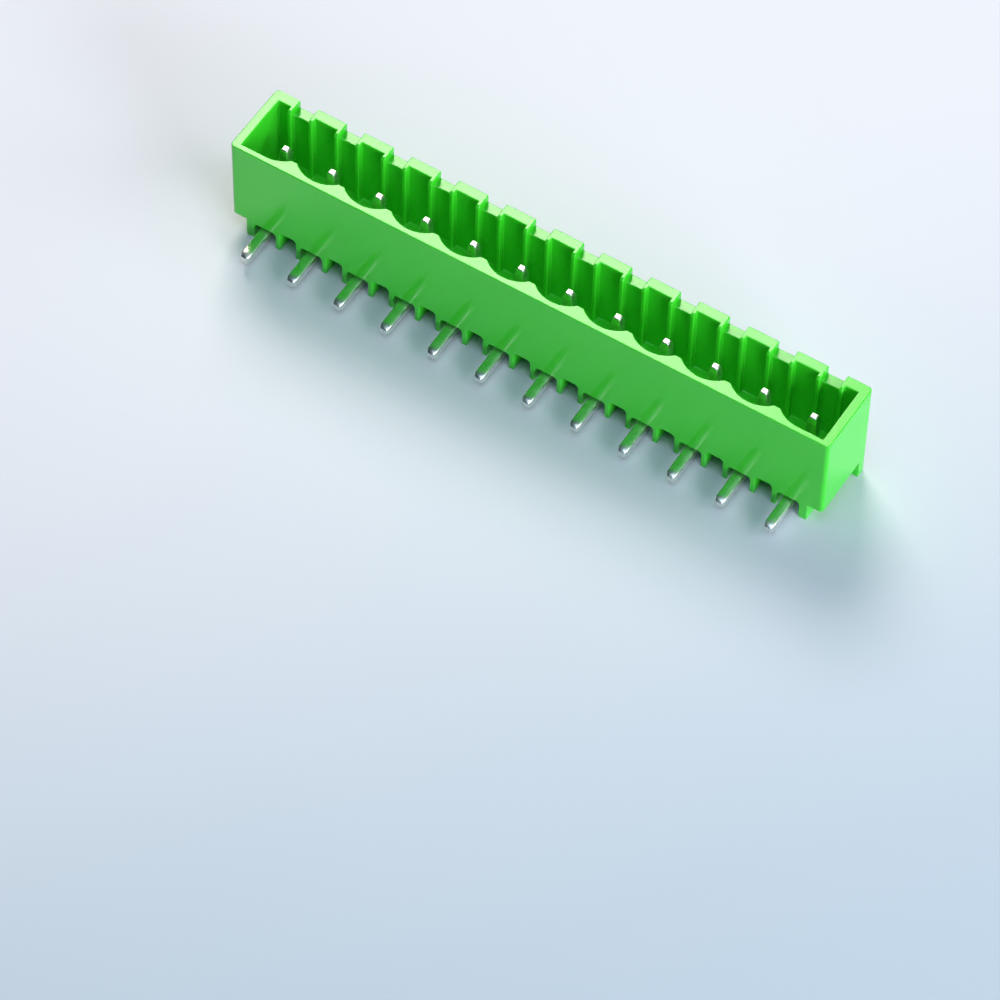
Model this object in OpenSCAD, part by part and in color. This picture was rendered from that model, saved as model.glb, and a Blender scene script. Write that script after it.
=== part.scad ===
// Closed-end right-angle pin header: the board half of a pluggable terminal block.
// It stands on its back face. X runs along the row of poles, Z from the back face
// to the mouth that takes the plug, and the face that seats on the board looks along -Y.
// All lengths are in millimetres.

/* [Row] */
// Number of poles
poles = 12; // [2:1:20]
// Distance between neighbouring contact axes
pitch = 5.08; // [5.0:0.02:7.62]
// Distance from an end contact's axis to the end of the housing
end_margin = 3.54; // [3.4:0.02:4.4]

/* [Housing] */
// Height of the housing above the board
body_h = 7.8; // [7.6:0.1:11.0]
// Depth of the housing, from its back face to its mouth
body_d = 12.0; // [10.5:0.1:16.0]
// Radius of the housing's four long corners
corner_r = 0.4; // [0.2:0.05:0.9]
// Thickness of the end walls
end_wall = 0.9; // [0.6:0.05:1.2]
// Thickness of the board-side wall at a pole, where it is thinnest
seat_wall = 0.6; // [0.5:0.05:1.0]
// Thickness of the board-side wall at the ribs between the poles
rib_wall = 1.5; // [1.2:0.05:1.8]
// Height of the mouth's floor over the back face
floor_h = 4.0; // [3.9:0.1:5.5]

/* [Top wall] */
// Thickness of the top wall
top_wall = 1.1; // [0.8:0.05:1.3]
// Width of the slot between the two coding rails at a pole
rail_gap = 1.9; // [1.2:0.05:2.3]
// Width of a coding rail
rail_w = 0.4; // [0.3:0.05:0.6]
// How far the coding rails stand out from the top wall
rail_out = 0.65; // [0.3:0.05:0.8]
// Depth of the notch in the rim at each pole, where a coding profile slides in
notch_h = 1.0; // [0.6:0.1:3.0]
// Size of the slanted lead-in at the coding rails' upper ends
lead_in = 0.25; // [0.1:0.05:0.3]

/* [Back edge] */
// Width of the open slot that each tail leaves through
slot_w = 2.34; // [1.6:0.02:2.6]
// Width of the blind pocket between two slots
pocket_w = 1.72; // [0.8:0.02:1.8]
// Height of the blind pockets over the back face
pocket_h = 2.5; // [2.0:0.05:3.3]
// How far the blind pockets reach in from the board
pocket_in = 4.6; // [2.0:0.1:5.5]
// Radius of the slots' and pockets' upper corners
slot_r = 0.4; // [0.1:0.05:0.6]
// Width of the foot beside each end slot
end_foot_w = 0.85; // [0.5:0.05:1.2]
// Height of the step at both ends of the board face
end_step_h = 2.2; // [0.5:0.1:3.2]
// Length of the foot that stays under each end, at the top wall
rear_foot = 1.2; // [0.8:0.1:3.0]

/* [Contacts] */
// Side of the square contact wire
contact_w = 1.0; // [0.7:0.05:1.1]
// Height of the contact axes above the board
contact_h = 3.8; // [3.4:0.05:4.0]
// Distance of the contacts' tips below the rim of the mouth
tip_drop = 2.1; // [0.5:0.1:4.0]
// Length of the taper at a contact's tip
tip_taper = 0.7; // [0.3:0.1:1.5]
// Distance of the solder tails' axes from the back face
tail_back = 1.2; // [1.0:0.05:2.1]
// Length of the solder tails below the board face
tail_len = 3.5; // [2.5:0.1:5.0]
// Length of the taper at a tail's end
tail_taper = 0.4; // [0.2:0.1:1.0]
// Width of the flat left at the end of both tapers
taper_flat = 0.65; // [0.2:0.05:0.65]
// Inner radius of the bend between contact and tail
bend_r = 0.2; // [0.1:0.05:0.3]
// Gap all round a contact where it passes through the floor
contact_gap = 0.02; // [0.01:0.01:0.1]
// Room between a tail's bend and the roof and end of its slot
slot_gap = 0.1; // [0.05:0.05:0.3]

/* [Hidden] */
$fn = 64;
cut = 1;                                    // how far a cut runs past the face it opens
body_l = (poles - 1) * pitch + 2 * end_margin;
pole_x = [for (i = [0 : poles - 1]) (i - (poles - 1) / 2) * pitch];
gap_x = [for (i = [0 : poles - 2]) (i - (poles - 2) / 2) * pitch];
seat_y = (tail_len - body_h) / 2;           // board face, with the whole part centred on Y

barrel_r = contact_h - seat_wall;           // the plug's round barrels lie round the contacts
mouth_x = body_l / 2 - end_wall;            // half the mouth's length
mouth_top = body_h - top_wall;              // inner face of the top wall

tip_z = body_d - tip_drop;
half_w = contact_w / 2;
tail_top = tail_back + half_w;
slot_h = tail_top + bend_r + slot_gap;
slot_in = contact_h + half_w + slot_gap;    // how far the slots reach in from the board
foot_x = pole_x[poles - 1] + slot_w / 2 + end_foot_w;

// A node name with a two-digit number, so that the names sort in row order
function pin_name(i) = str("contact_pin_", i < 10 ? "0" : "", i);

// ---- housing -------------------------------------------------------------

// Rectangle from (x0, y0) to (x1, y1) with round corners
module round_rect(x0, y0, x1, y1, r) {
    translate([x0 + r, y0]) square([x1 - x0 - 2 * r, y1 - y0]);
    translate([x0, y0 + r]) square([x1 - x0, y1 - y0 - 2 * r]);
    for (x = [x0 + r, x1 - r], y = [y0 + r, y1 - r])
        translate([x, y]) circle(r = r);
}

// Outline of the mouth: round barrels at the board side, coding rails at the top wall
module mouth_outline() {
    difference() {
        union() {
            // the lower half of each barrel, because the room above it is straight
            for (x = pole_x) translate([x, contact_h]) intersection() {
                circle(r = barrel_r);
                translate([-barrel_r, -barrel_r]) square([2 * barrel_r, barrel_r]);
            }
            translate([-mouth_x, rib_wall]) square([2 * mouth_x, mouth_top - rib_wall]);
            // past the end contacts the wall stays thin out to the corners
            for (side = [0, 1]) mirror([side, 0])
                translate([pole_x[poles - 1], seat_wall])
                    square([mouth_x - pole_x[poles - 1], contact_h]);
        }
        for (x = pole_x, side = [0, 1])
            translate([x, mouth_top - rail_out]) mirror([side, 0])
                translate([rail_gap / 2, 0]) square([rail_w, rail_out + cut]);
        for (side = [0, 1]) mirror([side, 0])
            translate([mouth_x, -cut]) square([body_l, body_h + 2 * cut]);
    }
}

// Slanted cut along the mouth that takes the corner off the coding rails' upper ends
module lead_in_cut() {
    translate([-mouth_x, mouth_top - rail_out, body_d]) rotate([90, 0, 90])
        linear_extrude(2 * mouth_x)
            polygon([[-cut, cut], [-cut, -lead_in - cut], [lead_in + cut, cut]]);
}

// Notch through the top wall's rim, as wide as the slot between the rails
module rim_notch() {
    translate([-rail_gap / 2, mouth_top - rail_out, body_d - notch_h])
        cube([rail_gap, body_h, notch_h + cut]);
}

// Opening w wide and h high in the back edge, with round upper corners, len long
module edge_slot(w, h, len) {
    translate([0, len, 0]) rotate([90, 0, 0]) linear_extrude(len + cut) {
        translate([-w / 2, -cut]) square([w, h + cut - slot_r]);
        translate([-w / 2 + slot_r, -cut]) square([w - 2 * slot_r, h + cut]);
        for (side = [-1, 1])
            translate([side * (w / 2 - slot_r), h - slot_r]) circle(r = slot_r);
    }
}

// Step that lifts both ends of the board-side edge off the surface below
module end_steps() {
    for (side = [0, 1]) mirror([side, 0, 0])
        translate([foot_x, -cut, -cut])
            cube([body_l, body_h - rear_foot + cut, end_step_h + cut]);
}

module housing() {
    hole_w = contact_w + 2 * contact_gap;
    color("#3fb43f") translate([0, seat_y, 0]) difference() {
        linear_extrude(body_d) round_rect(-body_l / 2, 0, body_l / 2, body_h, corner_r);
        translate([0, 0, floor_h]) linear_extrude(body_d) mouth_outline();
        lead_in_cut();
        for (x = pole_x) {
            translate([x, 0, 0]) rim_notch();
            translate([x, 0, 0]) edge_slot(slot_w, slot_h, slot_in);
            translate([x - hole_w / 2, contact_h - hole_w / 2, 0])
                cube([hole_w, hole_w, floor_h + cut]);
        }
        for (x = gap_x) translate([x, 0, 0]) edge_slot(pocket_w, pocket_h, pocket_in);
        end_steps();
    }
}

// ---- contacts ------------------------------------------------------------

// Bar of the contact's width from 0 to len, tapered to the flat over its last stretch
module tapered_bar(len, taper) {
    polygon([[-half_w, 0], [half_w, 0], [half_w, len - taper], [taper_flat / 2, len],
             [-taper_flat / 2, len], [-half_w, len - taper]]);
}

// Side view of the bent contact: first axis away from the board, second axis Z
module contact_side() {
    bend_y = contact_h - half_w - bend_r;
    bend_z = tail_top + bend_r;
    translate([contact_h, bend_z]) tapered_bar(tip_z - bend_z, tip_taper);
    translate([bend_y, tail_back]) rotate(90) tapered_bar(bend_y + tail_len, tail_taper);
    translate([bend_y, bend_z]) intersection() {
        difference() {
            circle(r = bend_r + contact_w);
            circle(r = bend_r);
        }
        translate([0, -body_d]) square([body_d, body_d]);
    }
}

// One contact: a square wire bent at a right angle, plug side up, solder tail to -Y
module contact_pin(i) {
    far = body_h;                           // longer than any stretch it has to cover
    color("#d9dcdc") translate([pole_x[i - 1], seat_y, 0]) intersection() {
        // the side view, as wide as the wire
        translate([-half_w, 0, 0]) rotate([90, 0, 90]) linear_extrude(contact_w) contact_side();
        union() {
            // the view along the tail, which tapers the contact's tip
            translate([0, far, tail_back - half_w]) rotate([90, 0, 0])
                linear_extrude(far) tapered_bar(tip_z - tail_back + half_w, tip_taper);
            // the view along the contact, which tapers the tail's end
            translate([0, contact_h + half_w, 0]) rotate(180) linear_extrude(tail_top)
                tapered_bar(contact_h + half_w + tail_len, tail_taper);
        }
    }
}

housing();
for (i = [1 : poles])
    contact_pin(i);
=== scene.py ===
# %% [markdown]
# # A pin header for a circuit board
# This lesson dresses a right-angle pin header, the board half of a pluggable terminal block, as it looks
# on a studio table. The header is one green moulding that holds a row of bent, square, tin-plated
# contacts. The construction model already has every true size, so nothing here is moved or resized: the
# script gives the moulding the soft edges of a real one, bends the contacts from wire, and makes the
# floor, the light and the camera. Lengths are in metres, as everywhere in Blender, and `MM` turns the
# millimetres of a drawing into them.

import math

import bmesh
import bpy
from mathutils import Matrix, Vector


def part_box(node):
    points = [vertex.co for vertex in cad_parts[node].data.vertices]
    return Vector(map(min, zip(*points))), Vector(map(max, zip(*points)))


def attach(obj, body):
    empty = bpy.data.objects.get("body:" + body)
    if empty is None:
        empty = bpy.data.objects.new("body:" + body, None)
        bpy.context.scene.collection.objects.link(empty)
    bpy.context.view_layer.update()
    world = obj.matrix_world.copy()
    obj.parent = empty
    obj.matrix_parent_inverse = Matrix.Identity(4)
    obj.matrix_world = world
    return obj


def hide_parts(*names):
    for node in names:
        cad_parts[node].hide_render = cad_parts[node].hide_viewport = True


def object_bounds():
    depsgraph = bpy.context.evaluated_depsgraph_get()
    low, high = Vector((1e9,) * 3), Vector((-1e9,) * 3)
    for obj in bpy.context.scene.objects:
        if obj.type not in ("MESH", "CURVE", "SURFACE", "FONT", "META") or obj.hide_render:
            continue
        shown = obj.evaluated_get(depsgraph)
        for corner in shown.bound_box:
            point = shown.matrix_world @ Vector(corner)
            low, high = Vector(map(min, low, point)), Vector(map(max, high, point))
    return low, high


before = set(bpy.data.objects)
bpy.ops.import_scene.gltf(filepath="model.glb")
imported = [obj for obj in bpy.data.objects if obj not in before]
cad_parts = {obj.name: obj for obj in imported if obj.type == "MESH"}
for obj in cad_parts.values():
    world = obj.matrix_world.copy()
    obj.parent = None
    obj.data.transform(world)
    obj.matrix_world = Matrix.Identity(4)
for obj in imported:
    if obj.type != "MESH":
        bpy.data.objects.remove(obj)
cad_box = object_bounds()
MM = 0.001
cad_low, cad_high = cad_box
contact_names = sorted(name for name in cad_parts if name.startswith("contact_pin_"))
print("header:", [round(size / MM, 2) for size in cad_high - cad_low], "mm,", len(contact_names), "contacts")

# %% [markdown]
# ## Camera
# In a studio the camera stands back and uses a long lens, so that a 63 mm row keeps nearly parallel
# edges. It could be turned with three separate angles or made to track an empty. Here it is given the way
# a person would say it: which side it looks from, how high it stands, how far away it is and what it looks
# at. Three directions at right angles (right, up and back) then make its turning matrix, which avoids any
# guessing about the order of the angles.

# %% Place the camera
VIEW_SIDE = math.radians(31.2)
VIEW_HEIGHT = math.radians(54.5)
VIEW_TILT = math.radians(1.3)
VIEW_DISTANCE = 0.488
LOOK_AT = Vector((8.07, -18.71, 6.0)) * MM
LENS = 199.7
NEAREST_SHOWN = 10 * MM

back = Vector((math.sin(VIEW_SIDE) * math.cos(VIEW_HEIGHT), -math.cos(VIEW_SIDE) * math.cos(VIEW_HEIGHT),
               math.sin(VIEW_HEIGHT)))
level = Vector((math.cos(VIEW_SIDE), math.sin(VIEW_SIDE), 0.0))
upright = back.cross(level)
right = level * math.cos(VIEW_TILT) + upright * math.sin(VIEW_TILT)
up = upright * math.cos(VIEW_TILT) - level * math.sin(VIEW_TILT)

camera = bpy.data.objects.new("camera", bpy.data.cameras.new("camera"))
camera.data.lens = LENS
camera.data.clip_start = NEAREST_SHOWN
turn = Matrix((right, up, back)).transposed().to_4x4()
camera.matrix_world = Matrix.Translation(LOOK_AT + back * VIEW_DISTANCE) @ turn
bpy.context.scene.collection.objects.link(camera)
bpy.context.scene.camera = camera
print("camera stands", round(VIEW_DISTANCE / MM), "mm away with a", LENS, "mm lens")

# %% [markdown]
# ## Colours and a helper for nodes
# Colours are easiest to compare as the hex values that a paint program shows. Those are sRGB, while
# Blender calculates in linear light, so one function turns one into the other. Materials could be drawn by
# hand in the node editor, but a script gives the same result each time. A second function adds a node,
# sets its properties and fills or links its inputs, which keeps the materials below short enough to read,
# and a third starts an empty material.

# %% Helpers for materials
def colour(hex_value):
    """An sRGB hex value such as 3fae3c as linear red, green, blue and alpha."""
    channels = [int(hex_value[i:i + 2], 16) / 255 for i in (0, 2, 4)]
    return [c / 12.92 if c <= 0.04045 else ((c + 0.055) / 1.055) ** 2.4 for c in channels] + [1.0]


def add_node(tree, kind, settings=None, **inputs):
    """Adds a node. An input is a value, or another node's output socket to link from.

    An input is called by its name, with _ for a space, or by its number, as in i6, where names repeat.
    """
    node = tree.nodes.new(kind)
    for name, value in (settings or {}).items():
        setattr(node, name, value)
    for name, value in inputs.items():
        socket = node.inputs[int(name[1:])] if name[0] == "i" and name[1:].isdigit() else \
            node.inputs[name.replace("_", " ")]
        if isinstance(value, bpy.types.NodeSocket):
            tree.links.new(value, socket)
        else:
            socket.default_value = value
    return node


def new_material(name):
    """An empty node material, with its tree and its output node."""
    material = bpy.data.materials.new(name)
    material.use_nodes = True
    material.node_tree.nodes.clear()
    return material, material.node_tree, material.node_tree.nodes.new("ShaderNodeOutputMaterial")


print("hex 808080 is", round(colour("808080")[0], 3), "in linear light")

# %% [markdown]
# ## Moulded polyamide
# The housing is glass-filled polyamide, coloured in the mass and injection-moulded. The tool's smooth
# faces leave a glossy skin with a fine, even grain, so the eye sees clear highlights with soft borders.
# The melt freezes with slow differences in colour and gloss along its flow. The plastic lets a little
# light in, so thin walls and edges look fresher than the thick floor. An image could carry the grain, but
# noise in object coordinates has no seams and needs no unwrapping. Real grain is about 0.05 mm, which is
# finer than a render of the whole row can show, so it is drawn at 0.2 mm.

# %% Make the polyamide
NOISE_LOW = 0.3              # most of a noise's values lie between these two
NOISE_HIGH = 0.7
MIXED_COLOUR = 2             # number of a Mix node's colour output
RELIEF_DEPTH = 0.02 * MM
FLOW_SIZE = 9 * MM
GRAIN_SIZE = 0.2 * MM
LIGHT_REACH = 0.6 * MM       # how far light travels inside the plastic, times each colour's share


def moulded_polyamide():
    """Glossy green plastic with a fine grain, a slow change of tone and a little light inside."""
    material, tree, output = new_material("green_polyamide_moulded")
    place = add_node(tree, "ShaderNodeTexCoord").outputs["Object"]
    flow = add_node(tree, "ShaderNodeTexNoise", Vector=place, Scale=1 / FLOW_SIZE, Detail=3.0)
    grain = add_node(tree, "ShaderNodeTexNoise", Vector=place, Scale=1 / GRAIN_SIZE, Detail=2.0)
    tone = add_node(tree, "ShaderNodeMix", {"data_type": "RGBA"}, Factor=flow.outputs["Fac"],
                    i6=colour("39d028"), i7=colour("46dc33"))
    gloss = add_node(tree, "ShaderNodeMapRange", Value=flow.outputs["Fac"], From_Min=NOISE_LOW,
                     From_Max=NOISE_HIGH, To_Min=0.15, To_Max=0.21)
    relief = add_node(tree, "ShaderNodeBump", Strength=0.10, Distance=RELIEF_DEPTH,
                      Height=grain.outputs["Fac"])
    surface = add_node(tree, "ShaderNodeBsdfPrincipled", Base_Color=tone.outputs[MIXED_COLOUR],
                       Roughness=gloss.outputs["Result"], Normal=relief.outputs["Normal"], IOR=1.53,
                       Subsurface_Weight=0.12, Subsurface_Radius=(0.35, 1.0, 0.3),
                       Subsurface_Scale=LIGHT_REACH)
    tree.links.new(surface.outputs["BSDF"], output.inputs["Surface"])
    return material


polyamide = moulded_polyamide()
print("material:", polyamide.name)

# %% [markdown]
# ## Tin plate
# The contacts are drawn from square copper-alloy wire, plated with tin, cut to length and bent. Drawing
# leaves faint lines along the wire, and the soft tin picks up small dull patches, so the eye sees a silky,
# slightly uneven shine. The lines could be cut into the mesh, but they are far too small for that: here
# they are a change of height, and the patches are changes of roughness and tone. The lines follow the
# wire, so their noise is stretched along both of its straight stretches. Real lines are about 0.02 mm
# apart, finer than a render of the whole row can show, so they are drawn 0.12 mm apart.

# %% Make the tin plate
LINE_SPACING = 0.12 * MM
STRETCH = (1.0, 0.12, 0.12)  # a line is about eight times as long as it is wide
PATCH_SIZE = 0.9 * MM


def bright_tin_plate():
    """Silky tin with drawn lines along the wire and small duller patches."""
    material, tree, output = new_material("copper_alloy_tin_plated")
    place = add_node(tree, "ShaderNodeTexCoord").outputs["Object"]
    along = add_node(tree, "ShaderNodeMapping", Vector=place, Scale=STRETCH)
    lines = add_node(tree, "ShaderNodeTexNoise", Vector=along.outputs["Vector"], Scale=1 / LINE_SPACING,
                     Detail=2.0)
    patches = add_node(tree, "ShaderNodeTexNoise", Vector=place, Scale=1 / PATCH_SIZE, Detail=3.0)
    tone = add_node(tree, "ShaderNodeMix", {"data_type": "RGBA"}, Factor=patches.outputs["Fac"],
                    i6=colour("e2e4e0"), i7=colour("f4f4f0"))
    gloss = add_node(tree, "ShaderNodeMapRange", Value=patches.outputs["Fac"], From_Min=NOISE_LOW,
                     From_Max=NOISE_HIGH, To_Min=0.26, To_Max=0.36)
    relief = add_node(tree, "ShaderNodeBump", Strength=0.05, Distance=RELIEF_DEPTH,
                      Height=lines.outputs["Fac"])
    surface = add_node(tree, "ShaderNodeBsdfPrincipled", Base_Color=tone.outputs[MIXED_COLOUR],
                       Metallic=1.0, Roughness=gloss.outputs["Result"], Normal=relief.outputs["Normal"])
    tree.links.new(surface.outputs["BSDF"], output.inputs["Surface"])
    return material


tin = bright_tin_plate()
print("material:", tin.name)

# %% [markdown]
# ## Housing
# A moulding has no knife edges: the tool is cut with small radii and the melt rounds them further. Those
# narrow rounds catch the light and draw every rim as a bright line. They could be cut into the solid, but
# a Bevel modifier does the same with far less work. The construction model's mesh is loose triangles with
# sharp edges, so a copy is merged and its flat faces are made whole again. Each edge gets a weight that
# tells the modifier whether to round it: one for the sharp edges, and none where the plastic grips a
# contact, because the gap there is too narrow for a round. A round then shares points with large flat
# faces, so normals are weighted by face area: the flat faces stay flat to the eye, and the rounds bend to
# meet them.

# %% Measure where the contacts stand
contact_places = [sum(corner.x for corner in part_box(name)) / 2 for name in contact_names]
first_low, first_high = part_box(contact_names[0])
WIRE = first_high.x - first_low.x
PLUG_AXIS = first_high.y - WIRE / 2
PITCH = contact_places[1] - contact_places[0]
print("wire", round(WIRE / MM, 2), "mm, pitch", round(PITCH / MM, 2), "mm")


# %% Make flat faces whole and weigh the edges
SHARP = math.radians(30)
FLAT = math.radians(0.3)
SAME_POINT = 0.002 * MM
GRIP_SIDEWAYS = 1.2 * WIRE   # how far round a contact's axis the plastic counts as its grip
GRIP_TO_BOARD = 0.6 * WIRE
GRIP_TO_TOP = 0.65 * WIRE


def beside_a_contact(point):
    """True where the plastic grips a contact, which leaves no room for a round."""
    if not PLUG_AXIS - GRIP_TO_BOARD <= point.y <= PLUG_AXIS + GRIP_TO_TOP:
        return False
    return any(abs(point.x - x) < GRIP_SIDEWAYS for x in contact_places)


def whole_faces(cad_object, name):
    """A copy of a construction mesh with its points merged, its flat faces whole and its edges weighted."""
    mesh = bpy.data.meshes.new(name)
    bm = bmesh.new()
    bm.from_mesh(cad_object.data)
    bmesh.ops.remove_doubles(bm, verts=bm.verts, dist=SAME_POINT)
    bmesh.ops.dissolve_limit(bm, angle_limit=FLAT, verts=bm.verts, edges=bm.edges)
    for face in bm.faces:
        face.smooth = True
    weight = bm.edges.layers.float.new("bevel_weight_edge")
    for edge in bm.edges:
        gripping = all(beside_a_contact(vert.co) for vert in edge.verts)
        edge[weight] = float(edge.calc_face_angle(0.0) > SHARP and not gripping)
    bm.to_mesh(mesh)
    bm.free()
    return mesh


housing_mesh = whole_faces(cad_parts["housing"], "housing_moulding")
print("housing:", len(housing_mesh.polygons), "whole faces before rounding")

# %% Round the housing's edges
EDGE_ROUND = 0.09 * MM
ROUND_STEPS = 3
BY_AREA_ALONE = 50           # the modifier's neutral setting: a face counts by its area

housing_mesh.set_sharp_from_angle(angle=SHARP)
housing_mesh.materials.clear()
housing_mesh.materials.append(polyamide)
housing = bpy.data.objects.new("housing_moulding", housing_mesh)
bpy.context.scene.collection.objects.link(housing)
rounds = housing.modifiers.new("edge_rounds", "BEVEL")
rounds.width = EDGE_ROUND
rounds.segments = ROUND_STEPS
rounds.limit_method = "WEIGHT"
rounds.use_clamp_overlap = False
weights = housing.modifiers.new("flat_face_weights", "WEIGHTED_NORMAL")
weights.mode = "FACE_AREA"
weights.weight = BY_AREA_ALONE
weights.keep_sharp = True
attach(housing, "root")
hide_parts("housing")
print("rounds:", round(EDGE_ROUND / MM, 2), "mm in", ROUND_STEPS, "steps")

# %% [markdown]
# ## Contacts
# The contacts are one bent wire repeated at the pitch. Each could be modelled by hand and copied, but a
# row that follows a rule is what Geometry Nodes are for. The centreline of one contact is a chain of
# points: down from the tip, round the bend and out along the solder tail. Each point carries a relative
# size, 1 on the wire and less at the ends, which draws the tapers that guide the contact into its plug and
# its hole. A few points close to each end round off the cut. The tree sweeps a square with rounded corners
# along that line, repeats it along the row, makes the copies real and sets the material.

# %% Describe how a contact ends
TIP_TAPER = 0.7 * MM
TAIL_TAPER = 0.4 * MM
END_SIZE = 0.65              # size of the cut end, as a share of the wire
CUT_ROUND = 0.06 * MM        # how far the rounded border of the cut reaches along the wire
CUT_RINGS = ((0.0, -0.22), (0.3, -0.10), (1.0, 0.0), (1.6, 0.04))  # rounds from the end, change of size
TIP_RING = 1 * CUT_ROUND     # a last ring past each taper keeps the taper's shade off the straight wire
TAIL_RING = 9 * CUT_ROUND


def taper_points(end, way_in, taper, last_ring):
    """Places and relative sizes from a contact's end inwards, past its taper."""
    rings = [(CUT_ROUND * reach, END_SIZE + change) for reach, change in CUT_RINGS]
    rings += [(taper, 1.0), (taper + last_ring, 1.0)]
    return [(end + way_in * distance, size) for distance, size in rings]


print("each taper has", len(CUT_RINGS) + 2, "rings")

# %% Draw the centreline
BEND = 0.7 * MM
BEND_STEPS = 10
tail_axis = first_low.z + WIRE / 2
middle = contact_places[0]
tip = Vector((middle, PLUG_AXIS, first_high.z))
tail_end = Vector((middle, first_low.y, tail_axis))
bend_centre = Vector((middle, PLUG_AXIS - BEND, tail_axis + BEND))
bend = [(bend_centre + BEND * Vector((0, math.cos(a), -math.sin(a))), 1.0)
        for a in (math.pi / 2 * i / BEND_STEPS for i in range(BEND_STEPS + 1))]
tip_points = taper_points(tip, (bend[0][0] - tip).normalized(), TIP_TAPER, TIP_RING)
tail_points = taper_points(tail_end, (bend[-1][0] - tail_end).normalized(), TAIL_TAPER, TAIL_RING)
line = tip_points + bend + tail_points[::-1]

centreline = bpy.data.meshes.new("contact_row")
centreline.from_pydata([place for place, _ in line], [(i, i + 1) for i in range(len(line) - 1)], [])
size_along = centreline.attributes.new("wire_size", "FLOAT", "POINT")
size_along.data.foreach_set("value", [size for _, size in line])
contacts = bpy.data.objects.new("contact_row", centreline)
bpy.context.scene.collection.objects.link(contacts)
print("centreline:", len(line), "points")


# %% Build the tree that bends and repeats the wire
CORNER_STEPS = 3


def contact_row_tree():
    """A tree that sweeps the wire's section along a centreline and repeats it in a row."""
    tree = bpy.data.node_groups.new("wire_contacts_in_a_row", "GeometryNodeTree")
    sockets = tree.interface
    sockets.new_socket("Centreline", in_out="INPUT", socket_type="NodeSocketGeometry")
    for name, kind in (("Wire Size", "NodeSocketFloat"), ("Corner Radius", "NodeSocketFloat"),
                       ("Contacts", "NodeSocketInt"), ("Pitch", "NodeSocketFloat"),
                       ("Finish", "NodeSocketMaterial")):
        sockets.new_socket(name, in_out="INPUT", socket_type=kind)
    sockets.new_socket("Row", in_out="OUTPUT", socket_type="NodeSocketGeometry")
    given = tree.nodes.new("NodeGroupInput").outputs
    size = add_node(tree, "GeometryNodeInputNamedAttribute", {"data_type": "FLOAT"}, Name="wire_size")
    path = add_node(tree, "GeometryNodeMeshToCurve", Mesh=given["Centreline"])
    square = add_node(tree, "GeometryNodeCurvePrimitiveQuadrilateral", Width=given["Wire Size"],
                      Height=given["Wire Size"])
    section = add_node(tree, "GeometryNodeFilletCurve", {"mode": "POLY"}, Curve=square.outputs["Curve"],
                       Radius=given["Corner Radius"], Count=CORNER_STEPS)
    wire = add_node(tree, "GeometryNodeCurveToMesh", Curve=path.outputs["Curve"], Fill_Caps=True,
                    Profile_Curve=section.outputs["Curve"], Scale=size.outputs["Attribute"])
    step = add_node(tree, "ShaderNodeCombineXYZ", X=given["Pitch"])
    places = add_node(tree, "GeometryNodeMeshLine", Count=given["Contacts"], Offset=step.outputs["Vector"])
    copies = add_node(tree, "GeometryNodeInstanceOnPoints", Points=places.outputs["Mesh"],
                      Instance=wire.outputs["Mesh"])
    real = add_node(tree, "GeometryNodeRealizeInstances", Geometry=copies.outputs["Instances"])
    plated = add_node(tree, "GeometryNodeSetMaterial", Geometry=real.outputs["Geometry"],
                      Material=given["Finish"])
    result = tree.nodes.new("NodeGroupOutput")
    tree.links.new(plated.outputs["Geometry"], result.inputs["Row"])
    return tree


row_tree = contact_row_tree()
print("tree:", row_tree.name, "with", len(row_tree.nodes), "nodes")


# %% Run it and keep a plain mesh
WIRE_CORNER = 0.14 * MM


def set_input(modifier, name, value):
    """Sets a Geometry Nodes input by its socket's identifier, found from its name."""
    for item in modifier.node_group.interface.items_tree:
        if item.item_type == "SOCKET" and item.in_out == "INPUT" and item.name == name:
            modifier[item.identifier] = value


def keep_plain_mesh(thing):
    """Replaces an object's mesh with what its modifiers make, and removes them."""
    bpy.context.view_layer.update()
    evaluated = thing.evaluated_get(bpy.context.evaluated_depsgraph_get())
    mesh = bpy.data.meshes.new_from_object(evaluated)
    thing.modifiers.clear()
    thing.data = mesh
    return mesh


repeat = contacts.modifiers.new("row", "NODES")
repeat.node_group = row_tree
for name, value in (("Wire Size", WIRE), ("Corner Radius", WIRE_CORNER),
                    ("Contacts", len(contact_names)), ("Pitch", PITCH), ("Finish", tin)):
    set_input(repeat, name, value)
row_mesh = keep_plain_mesh(contacts)
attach(contacts, "root")
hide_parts(*contact_names)
print("contacts:", len(row_mesh.polygons), "faces")

# %% [markdown]
# ## Table
# The table is a pale, faintly blue sheet of matt card, with painted shade in its colour: white on the far
# side and greyer towards the viewer, where the light from the boxes behind grows weaker. Lamps of several
# strengths could shade a plain sheet in the same way, but they would change the header's shine too. Here
# the painted tone follows the place on the card, in object coordinates, so it stays where it is when the
# viewer walks round. A broad noise makes the painted fall a little uneven.

# %% Lay the table
TABLE_HALF = 1.5
FALL_WAY = (0.74, -0.67, 0.0)
FALL_START = -20 * MM
FALL_END = 85 * MM
UNEVEN_SIZE = 30 * MM
UNEVEN_REACH = 6 * MM


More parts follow.
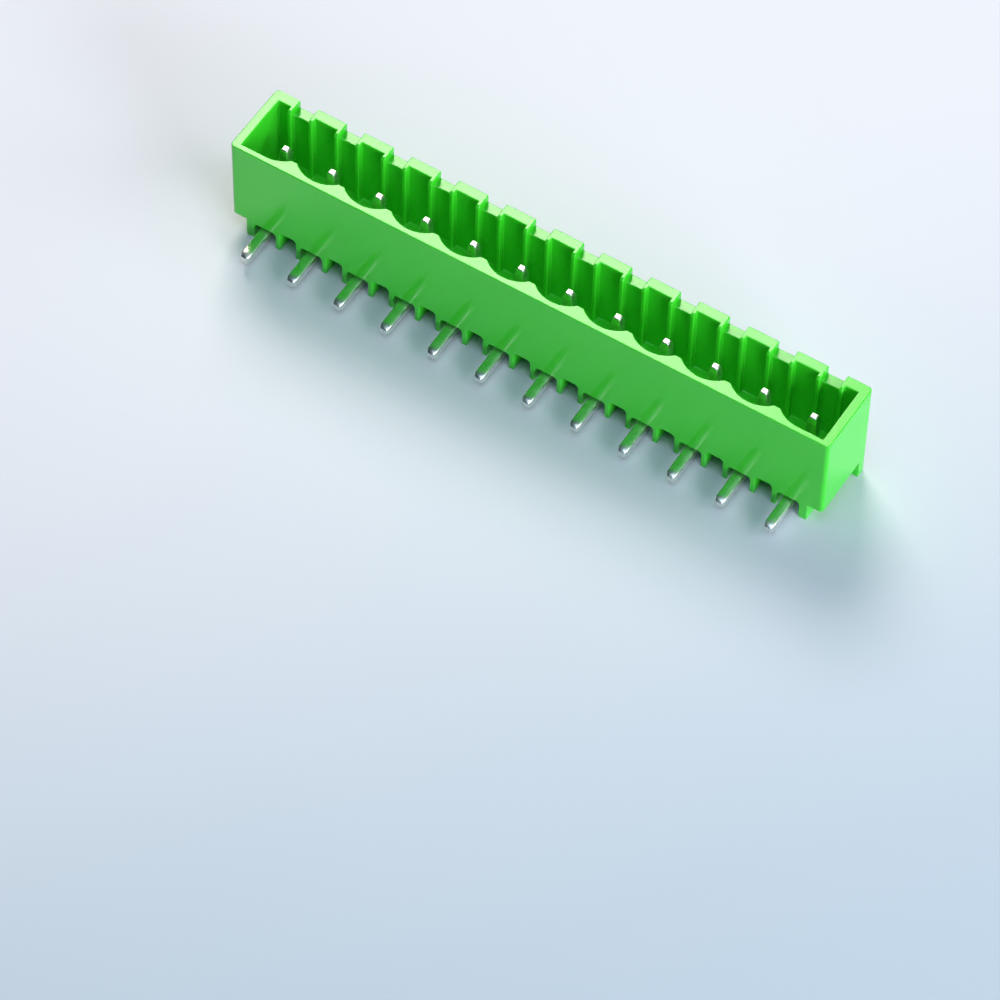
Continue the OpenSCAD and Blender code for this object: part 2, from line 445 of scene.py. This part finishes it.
def card_with_painted_falloff():
    """Matt card with painted shade: its tone falls from nearly white to a pale blue-grey, as the light
    weakens towards the viewer.
    """
    material, tree, output = new_material("matt_card_with_painted_falloff")
    place = add_node(tree, "ShaderNodeTexCoord").outputs["Object"]
    # Painted shade: the card darkens along FALL_WAY, towards the viewer, in place of light that weakens with
    # distance.
    fall = add_node(tree, "ShaderNodeVectorMath", {"operation": "DOT_PRODUCT"}, i0=place, i1=FALL_WAY)
    uneven = add_node(tree, "ShaderNodeTexNoise", Vector=place, Scale=1 / UNEVEN_SIZE, Detail=2.0)
    drift = add_node(tree, "ShaderNodeMath", {"operation": "MULTIPLY_ADD"}, i0=uneven.outputs["Fac"],
                     i1=UNEVEN_REACH, i2=fall.outputs["Value"])
    along = add_node(tree, "ShaderNodeMapRange", {"interpolation_type": "SMOOTHSTEP"},
                     Value=drift.outputs["Value"], From_Min=FALL_START, From_Max=FALL_END)
    # The two tones of the painted shade: the lit far side and the shaded near side.
    tone = add_node(tree, "ShaderNodeMix", {"data_type": "RGBA"}, Factor=along.outputs["Result"],
                    i6=colour("e1e2ee"), i7=colour("b8c7d9"))
    surface = add_node(tree, "ShaderNodeBsdfPrincipled", Base_Color=tone.outputs[MIXED_COLOUR],
                       Roughness=0.6)
    tree.links.new(surface.outputs["BSDF"], output.inputs["Surface"])
    return material


table_mesh = bpy.data.meshes.new("table")
table_mesh.from_pydata([(x, y, 0) for x, y in ((-1, -1), (1, -1), (1, 1), (-1, 1))], [], [(0, 1, 2, 3)])
table_mesh.transform(Matrix.Scale(TABLE_HALF, 4))
table_mesh.materials.append(card_with_painted_falloff())
table = bpy.data.objects.new("table", table_mesh)
bpy.context.scene.collection.objects.link(table)
print("table:", 2 * TABLE_HALF, "m square")

# %% [markdown]
# ## Light
# Small glossy parts are lit with large soft boxes, which leave broad highlights instead of hard sparks. An
# image of a whole studio could light the header too, but with separate lamps each highlight has one cause.
# The strongest hangs behind and to the left, where the rims mirror it to the viewer and turn pale, and it
# lets a wide, soft shadow fall towards the viewer. A box on the right opens the end wall, a low one at the
# front right lights the board face, and one overhead is mirrored in the slanted ends of the solder tails,
# which makes them white points. The surround only lifts the shadows.

# %% Hang the soft boxes
def soft_box(name, place, size, power, tint):
    """A square area light that looks at the header."""
    light = bpy.data.lights.new(name, "AREA")
    light.shape = "SQUARE"
    light.size = size
    light.energy = power
    light.color = colour(tint)[:3]
    lamp = bpy.data.objects.new(name, light)
    lamp.location = place
    lamp.rotation_euler = (Vector((0, 0, 0)) - Vector(place)).to_track_quat("-Z", "Y").to_euler()
    bpy.context.scene.collection.objects.link(lamp)


soft_box("back_left_box", place=(-0.23, 0.27, 0.35), size=0.24, power=1.95, tint="fff8ea")
soft_box("right_box", place=(0.42, 0.08, 0.26), size=0.30, power=1.0, tint="fafdff")
soft_box("front_right_box", place=(0.45, -0.18, 0.14), size=0.22, power=1.85, tint="f6fcff")
soft_box("overhead_box", place=(0.07, -0.12, 0.48), size=0.27, power=0.68, tint="d4f2ff")

# %% Set the surround
SURROUND_STRENGTH = 0.04
surround = bpy.data.worlds.new("surround")
surround.use_nodes = True
glow = surround.node_tree.nodes["Background"].inputs
glow["Color"].default_value = colour("b0e0ff")
glow["Strength"].default_value = SURROUND_STRENGTH
bpy.context.scene.world = surround
bpy.context.scene.view_settings.view_transform = "Standard"
print("surround:", surround.name, "at strength", SURROUND_STRENGTH)
